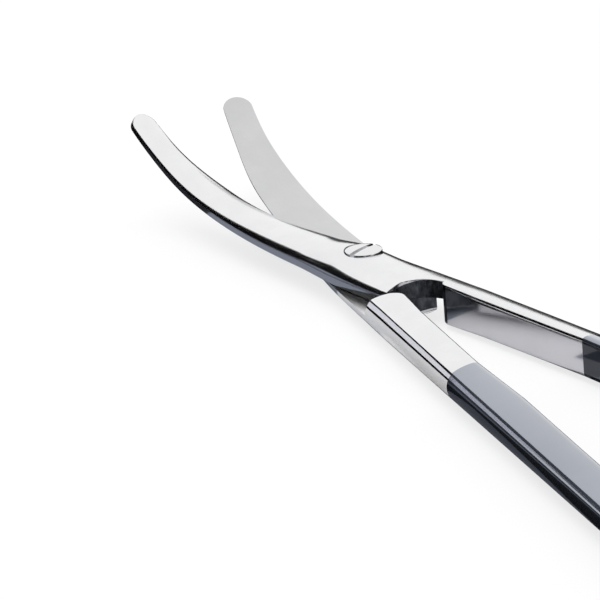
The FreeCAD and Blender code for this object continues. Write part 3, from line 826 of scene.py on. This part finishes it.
def add_handle(bm, half, sizes, inset):
    """Adds the covered part of a handle to bm, open at its front end."""
    bow = bow_skin(half, sizes, inset)
    spare = bpy.data.meshes.new("bow_skin")
    bow.to_mesh(spare)
    bow.free()
    known = set(bm.verts)
    bm.from_mesh(spare)
    bpy.data.meshes.remove(spare)
    bow_rim = [e for e in bm.edges if e.is_boundary and not (set(e.verts) & known)]
    known = set(bm.verts)
    new = skin(bm, half.handle_rings(inset), closed=True)
    bmesh.ops.remove_doubles(bm, verts=new, dist=0.001)
    fresh = [e for e in bm.edges if e.is_boundary and not (set(e.verts) & known)]
    middle = (BOW_JOIN - half.coat_start) / 2.0
    shank_rim = [e for e in fresh if e.verts[0].co.x < middle]
    bmesh.ops.bridge_loops(bm, edges=bow_rim + shank_rim)


def shade(thing, angle=35.0):
    """Smooth shading with crisp edges, and face sizes weighing in the normals."""
    for face in thing.data.polygons:
        face.use_smooth = True
    thing.data.set_sharp_from_angle(angle=math.radians(angle))
    even = thing.modifiers.new("even_shading", "WEIGHTED_NORMAL")
    even.keep_sharp = True
    even.mode = "FACE_AREA_WITH_ANGLE"


def cut(thing, cutter):
    """Takes the cutter's shape away from a piece."""
    away = thing.modifiers.new("cut", "BOOLEAN")
    away.operation = "DIFFERENCE"
    away.solver = "EXACT"
    away.object = cutter
    mesh = worked_in(thing)
    thing.modifiers.remove(away)
    old = thing.data
    thing.data = mesh
    bpy.data.meshes.remove(old)
    bpy.data.objects.remove(cutter, do_unlink=True)


def drill(name, radius, low, high):
    """A cylinder on the pivot axis for cutting, from its lowest to its highest point."""
    bm = bmesh.new()
    made = bmesh.ops.create_cone(
        bm, cap_ends=True, segments=TURNED_STEPS, radius1=radius, radius2=radius, depth=high - low
    )
    bmesh.ops.translate(bm, verts=made["verts"], vec=(0.0, 0.0, (low + high) / 2.0))
    return mesh_object(name, bm)


def finish_piece(thing, body, slot, materials, *nodes):
    """Gives a piece its finishes, hides the nodes that it replaces, and puts it on the body that it
    rides on.
    """
    for material in materials:
        thing.data.materials.append(material)
    shade(thing)
    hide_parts(*nodes)
    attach(thing, body)


def build_half(name, side, body):
    """One steel half, from the finger ring's core to the tip."""
    sizes = bpy.context.scene.scissors_sizes
    colours = bpy.context.scene.scissors_colours
    half = Half(side, sizes)
    bm = bmesh.new()
    add_handle(bm, half, sizes, sizes.coat_thickness)
    known = set(bm.verts)

    shank = half.shank_rings()
    front = half.front_rings()
    over, loop = TOP_POINTS, len(shank[0])
    cheek, bevel = over - CHEEK_STEPS - 1, over - CHEEK_STEPS - SOFT_STEPS * 2

    def shank_kind(row, column):
        if column <= WALL_STEPS or column > loop - 2 - WALL_STEPS:
            return HOLLOW if row >= SHANK_STEPS else FLAT
        place = min(column, loop - 2 - column)
        if place >= cheek:
            return CHEEK
        return BEVEL if place >= bevel else STEEL

    def front_kind(row, column):
        if column >= over - 1:
            return JOINT if row < HOLLOW_STEPS + JOINT_ROWS else FACE
        if column < WALL_STEPS:
            return HOLLOW if row < HOLLOW_STEPS else SPINE
        if row >= HOLLOW_STEPS + HEEL_STEPS or column < bevel:
            return STEEL
        return CHEEK if column >= cheek else BEVEL

    skin(bm, shank, closed=True, kinds=shank_kind)
    skin(bm, front, closed=True, kinds=front_kind)
    # The shoulder's wall; the shank's ring has one point more there, so its second is left out.
    last, first = shank[-1], front[0]
    under_shank = last[over - 1:over] + last[over + 1:] + last[:1]
    under_front = first[over - 1:] + first[:1]
    shoulder = [
        [a.lerp(b, share) for a, b in zip(under_shank, under_front)] for share in (0.0, 0.5, 1.0)
    ]
    skin(bm, shoulder, closed=False, kinds=lambda row, column: GROUND)
    fresh = [v for v in bm.verts if v not in known]
    bmesh.ops.remove_doubles(bm, verts=fresh, dist=0.003)
    step = [e for e in bm.edges if e.is_boundary
            and all(abs(v.co.x + sizes.coat_start) < 0.01 for v in e.verts)]
    bmesh.ops.bridge_loops(bm, edges=step)
    bmesh.ops.holes_fill(bm, edges=[e for e in bm.edges if e.is_boundary], sides=0)
    bmesh.ops.recalc_face_normals(bm, faces=bm.faces)
    piece = mesh_object(name, bm)
    if side > 0:
        cut(piece, drill("seat_cutter", sizes.screw_radius + SEAT_PLAY, SEAT_FLOOR, FAR_OUT))
        cut(piece, drill("pin_cutter", PIN_BORE, -2.0, 4.0))
    else:
        cut(piece, drill("end_cutter", END_BORE, -FAR_OUT, 2.0))
        cut(piece, drill("flat_cutter", END_FLAT, -FAR_OUT, -DROP))
    piece.data.transform(half.to_frame())
    turn = -HALF_OPENING * side
    finishes = [steel_finish(name, colours.steel, turn, *finish) for finish in STEEL_FINISHES]
    finishes.insert(HOLLOW, hollow_finish(name + "_hollow", colours.hollow, turn))
    finish_piece(piece, body, "half_steel", finishes, name.replace("_steel", "_half"))
    return piece


def mark_painted_flank_shade(mesh):
    """Stores how steep the skin stands at each vertex, for the shade that is painted on the coat's
    flanks.
    """
    flank = mesh.attributes.new(PAINTED_FLANK_SHADE, "FLOAT", "POINT")
    for vert, mark in zip(mesh.vertices, flank.data):
        mark.value = clamped((FLANK_SHADE_START - abs(vert.normal.z)) / FLANK_SHADE_RANGE)


def build_coat(name, side, body):
    """The coat on one handle: an outer and an inner skin with a rim between them."""
    sizes = bpy.context.scene.scissors_sizes
    half = Half(side, sizes)
    bm = bmesh.new()
    add_handle(bm, half, sizes, 0.0)
    add_handle(bm, half, sizes, sizes.coat_thickness)
    bmesh.ops.bridge_loops(bm, edges=[e for e in bm.edges if e.is_boundary])
    bmesh.ops.recalc_face_normals(bm, faces=bm.faces)
    piece = mesh_object(name, bm)
    piece.data.transform(half.to_frame())
    mark_painted_flank_shade(piece.data)
    gloss = coat_finish(name + "_gloss", bpy.context.scene.scissors_colours.coat)
    finish_piece(piece, body, "dark_coat", [gloss], name.replace("_coat", "_handle_coat"))
    return piece


def screw_body(head):
    """The turned screw without its slot, from the end's middle to the crown's."""
    bm = bmesh.new()
    crown = (head ** 2 + HEAD_DOME ** 2) / (HEAD_DOME * 2.0)
    # Radius and height; the head's edges have a small chamfer below and short steps above.
    profile = [
        (0.0, -DROP),
        (END_RADIUS - END_CHAMFER, -DROP),
        (END_RADIUS, -DROP + END_CHAMFER),
        (END_RADIUS, PIN_FOOT),
        (PIN_RADIUS, PIN_FOOT),
        (PIN_RADIUS, HEAD_UNDER),
        (head - 0.06, HEAD_UNDER),
        (head, HEAD_UNDER + 0.06),
        (head, HEAD_RIM - 0.16),
        (head - 0.02, HEAD_RIM - 0.07),
        (head - 0.08, HEAD_RIM - 0.02),
    ]
    for k in range(1, CROWN_STEPS + 1):
        r = (head - 0.16) * (1.0 - k / CROWN_STEPS)
        profile.append((r, HEAD_RIM + HEAD_DOME - crown + math.sqrt(crown ** 2 - r * r)))
    verts = [bm.verts.new((r, 0.0, z)) for r, z in profile]
    edges = [bm.edges.new(pair) for pair in zip(verts, verts[1:])]
    bmesh.ops.spin(
        bm, geom=verts + edges, cent=(0, 0, 0), axis=(0, 0, 1), angle=math.tau,
        steps=TURNED_STEPS, use_merge=True,
    )
    bmesh.ops.remove_doubles(bm, verts=bm.verts, dist=0.0005)
    bmesh.ops.recalc_face_normals(bm, faces=bm.faces)
    return mesh_object("slotted_screw", bm)


def slot_cutter(head):
    """A block across the head that cuts its slot."""
    height = 2.0
    bm = bmesh.new()
    bmesh.ops.create_cube(bm, size=1.0)
    bmesh.ops.scale(bm, vec=(head * 3.0, SLOT_WIDTH, height), verts=bm.verts)
    middle = HEAD_RIM - SLOT_DEPTH + height / 2.0
    bmesh.ops.translate(bm, vec=(0.0, 0.0, middle), verts=bm.verts)
    bmesh.ops.rotate(bm, cent=(0, 0, 0), matrix=Matrix.Rotation(SLOT_TURN, 3, "Z"), verts=bm.verts)
    return mesh_object("slot_cutter", bm)


# Sizes, colours and operators


class ScissorsSizes(PropertyGroup):
    """Sizes in millimetres."""

    coat_start: FloatProperty(
        name="Coat start", description="Distance of the coat's edge behind the pivot", default=37.7
    )
    coat_thickness: FloatProperty(
        name="Coat thickness", description="Of the dark coat", default=0.12
    )
    edge_softness: FloatProperty(
        name="Edge softness", description="How far the long edges are rounded off", default=0.16
    )
    tail: FloatProperty(
        name="Tail", description="Distance of the ring's end behind the pivot", default=137.5
    )
    ring_length: FloatProperty(
        name="Ring length", description="Of a finger ring, outside", default=32.0
    )
    ring_width: FloatProperty(
        name="Ring width", description="Of a finger ring, outside", default=27.0
    )
    ring_height: FloatProperty(name="Ring height", description="Of a finger ring", default=4.4)
    screw_radius: FloatProperty(name="Screw radius", description="Of the screw's head", default=2.0)


class ScissorsColours(PropertyGroup):
    """Colours of the finishes."""

    steel: FloatVectorProperty(
        name="Steel", description="Satin steel of the halves", subtype="COLOR",
        default=(0.86, 0.86, 0.87),
    )
    hollow: FloatVectorProperty(
        name="Hollow", description="Mottled steel behind the joint", subtype="COLOR",
        default=(0.15, 0.157, 0.175),
    )
    coat: FloatVectorProperty(
        name="Coat", description="Glossy dark coat", subtype="COLOR",
        default=(0.20, 0.225, 0.285),
    )
    floor: FloatVectorProperty(
        name="Floor", description="The plain pale floor", subtype="COLOR",
        default=(0.93, 0.93, 0.93),
    )


class SCISSORS_OT_halves(Operator):
    """Makes the two steel halves"""

    bl_idname = "scissors.halves"
    bl_label = "Steel halves"

    def execute(self, context):
        build_half("upper_steel", 1, "upper")
        build_half("lower_steel", -1, "lower")
        return {"FINISHED"}


class SCISSORS_OT_coats(Operator):
    """Makes the dark coats of the two handles"""

    bl_idname = "scissors.coats"
    bl_label = "Handle coats"

    def execute(self, context):
        build_coat("upper_coat", 1, "upper")
        build_coat("lower_coat", -1, "lower")
        return {"FINISHED"}


class SCISSORS_OT_screw(Operator):
    """Makes the slotted pivot screw"""

    bl_idname = "scissors.screw"
    bl_label = "Pivot screw"

    def execute(self, context):
        head = context.scene.scissors_sizes.screw_radius
        piece = screw_body(head)
        cut(piece, slot_cutter(head))
        piece.data.transform(UPRIGHT)
        soften = piece.modifiers.new("soft_edges", "BEVEL")
        soften.width = 0.00004
        soften.segments = 2
        soften.limit_method = "ANGLE"
        soften.angle_limit = math.radians(50.0)
        steel = context.scene.scissors_colours.steel
        satin = steel_finish("screw", steel, -SLOT_TURN, *SCREW_FINISH)
        finish_piece(piece, "lower", "screw_steel", [satin], "pivot_screw")
        return {"FINISHED"}


class SCISSORS_OT_stage(Operator):
    """Makes the floor, the studio light and the camera"""

    bl_idname = "scissors.stage"
    bl_label = "Stage"

    def execute(self, context):
        self.make_floor(context)
        self.make_light(context)
        for card in CARDS:
            self.make_card(*card)
        for sheet in SHEETS:
            self.make_sheet(*sheet)
        self.make_camera(context)
        context.scene.view_settings.view_transform = "Standard"
        return {"FINISHED"}

    def seen_share(self, finish):
        """One for rays that show the thing in the picture or in the gloss, and else zero."""
        rays = finish.node("ShaderNodeLightPath").link.node.outputs
        names = ("Is Camera Ray", "Is Glossy Ray", "Is Transmission Ray")
        shown = [Socket(finish, rays[name]) for name in names]
        total = shown[0] + shown[1] + shown[2]
        total.link.node.use_clamp = True
        return total

    def make_floor(self, context):
        bm = bmesh.new()
        bmesh.ops.create_grid(bm, x_segments=1, y_segments=1, size=FLOOR_SIZE)
        bmesh.ops.translate(bm, verts=bm.verts, vec=(0.0, 0.0, FLOOR_HEIGHT))
        floor = mesh_object("floor", bm)
        finish = Finish("floor_paper")
        pale = context.scene.scissors_colours.floor
        matt = finish.node("ShaderNodeBsdfDiffuse", None, {"Color": (*pale, 1.0)})
        white = {"Color": (1.0, 1.0, 1.0, 1.0), "Strength": 1.0}
        glow = finish.node("ShaderNodeEmission", None, white)
        inputs = {0: self.seen_share(finish) * FLOOR_GLOW, 1: matt, 2: glow}
        floor.data.materials.append(
            finish.surface(finish.node("ShaderNodeMixShader", None, inputs))
        )

    def make_card(self, name, first, last, low, high, near, far, tone):
        """A card, bent round the object, that only shows in its gloss.

        The values are those of CARDS. Where low and high are equal the card is a flat ring on the
        floor."""
        bm = bmesh.new()
        flat = low == high
        heights = [CARD_HEIGHT if flat else math.tan(math.radians(angle)) * far
                   for angle in (low, high)]
        verts = [bm.verts.new((reach, 0.0, z)) for reach, z in zip((near, far), heights)]
        edge = bm.edges.new(verts)
        bmesh.ops.spin(
            bm, geom=verts + [edge], cent=(0, 0, 0), axis=(0, 0, 1), steps=CARD_STEPS,
            angle=math.radians(last - first),
        )
        bmesh.ops.rotate(
            bm, cent=(0, 0, 0), matrix=Matrix.Rotation(math.radians(first), 3, "Z"), verts=bm.verts
        )
        if flat:
            bmesh.ops.scale(bm, vec=(CARD_STRETCH, 1.0, 1.0), verts=bm.verts)
            bmesh.ops.translate(bm, vec=(CARD_SHIFT, 0.0, 0.0), verts=bm.verts)
        self.only_in_gloss(mesh_object(name, bm), (tone, tone, tone * CARD_BLUE))

    def make_sheet(self, name, low, high, colour):
        bm = bmesh.new()
        bmesh.ops.create_grid(bm, x_segments=1, y_segments=1, size=0.5)
        bmesh.ops.scale(bm, vec=(high[0] - low[0], high[1] - low[1], 1.0), verts=bm.verts)
        middle = ((low[0] + high[0]) / 2.0, (low[1] + high[1]) / 2.0, SHEET_HEIGHT)
        bmesh.ops.translate(bm, vec=middle, verts=bm.verts)
        self.only_in_gloss(mesh_object(name, bm), colour)

    def only_in_gloss(self, card, colour):
        finish = Finish(card.name + "_matt")
        matt = finish.node("ShaderNodeBsdfDiffuse", None, {"Color": (*colour, 1.0)})
        card.data.materials.append(finish.surface(matt))
        card.visible_camera = False
        card.visible_diffuse = False
        card.visible_transmission = False
        card.visible_shadow = False

    def make_light(self, context):
        world = bpy.data.worlds.new("studio")
        context.scene.world = world
        finish = Finish("studio", world)
        strength = SKY_DIFFUSE + self.seen_share(finish) * (SKY_SEEN - SKY_DIFFUSE)
        inputs = {"Color": (1.0, 1.0, 1.0, 1.0), "Strength": strength}
        sky = finish.node("ShaderNodeBackground", None, inputs)
        end = finish.tree.nodes.new("ShaderNodeOutputWorld")
        finish.tree.links.new(sky.link, end.inputs["Surface"])
        lamp = bpy.data.lights.new("overhead_softbox", "AREA")
        lamp.shape = "RECTANGLE"
        lamp.size, lamp.size_y = 1.2, 0.8
        lamp.energy = 9.0
        holder = bpy.data.objects.new("overhead_softbox", lamp)
        holder.location = (0.35, 0.25, 1.3)
        holder.rotation_euler = (-Vector(holder.location)).to_track_quat("-Z", "Y").to_euler()
        holder.visible_glossy = False
        context.scene.collection.objects.link(holder)

    def make_camera(self, context):
        pitch, roll, heading = (math.radians(angle) for angle in (PITCH, ROLL, HEADING))
        level = Vector((1.0, 0.0, 0.0))
        back = Vector((0.0, -math.cos(pitch), math.sin(pitch)))
        rise = back.cross(level)
        right = level * math.cos(roll) + rise * math.sin(roll)
        up = rise * math.cos(roll) - level * math.sin(roll)
        spot = back * DISTANCE - right * ASIDE - up * ABOVE
        frame_x = Vector((-math.cos(heading), math.sin(heading), 0.0))
        frame_y = Vector((-math.sin(heading), -math.cos(heading), 0.0))

        def to_frame(v):
            return Vector((v.dot(frame_x), v.dot(frame_y), v.z))
        lens = bpy.data.cameras.new("photo_view")
        lens.sensor_width = SENSOR_WIDTH
        lens.lens = FOCAL_PIXELS / PICTURE_PIXELS * SENSOR_WIDTH
        lens.clip_start, lens.clip_end = 0.01, 20.0
        camera = bpy.data.objects.new("photo_view", lens)
        columns = [to_frame(v) for v in (right, up, back)]
        stand = Matrix([[column[row] for column in columns] for row in range(3)]).to_4x4()
        stand.translation = (to_frame(spot) + Vector((0.0, 0.0, DROP))) * MILLIMETRE
        camera.matrix_world = stand
        context.scene.collection.objects.link(camera)
        context.scene.camera = camera


class SCISSORS_PT_panel(Panel):
    """Lists the pieces and their sizes"""

    bl_label = "Scissors"
    bl_space_type = "VIEW_3D"
    bl_region_type = "UI"
    bl_category = "Scissors"

    def draw(self, context):
        for group in (context.scene.scissors_sizes, context.scene.scissors_colours):
            for key in group.__annotations__:
                self.layout.prop(group, key)
        for operator in OPERATORS:
            self.layout.operator(operator.bl_idname)


OPERATORS = (SCISSORS_OT_halves, SCISSORS_OT_coats, SCISSORS_OT_screw, SCISSORS_OT_stage)
CLASSES = (ScissorsSizes, ScissorsColours, *OPERATORS, SCISSORS_PT_panel)


def register():
    for item in CLASSES:
        bpy.utils.register_class(item)
    bpy.types.Scene.scissors_sizes = PointerProperty(type=ScissorsSizes)
    bpy.types.Scene.scissors_colours = PointerProperty(type=ScissorsColours)


def unregister():
    del bpy.types.Scene.scissors_colours
    del bpy.types.Scene.scissors_sizes
    for item in reversed(CLASSES):
        bpy.utils.unregister_class(item)


def main():
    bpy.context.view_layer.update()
    register()
    bpy.ops.scissors.halves()
    bpy.ops.scissors.coats()
    bpy.ops.scissors.screw()
    bpy.ops.scissors.stage()


if __name__ == "__main__":
    main()
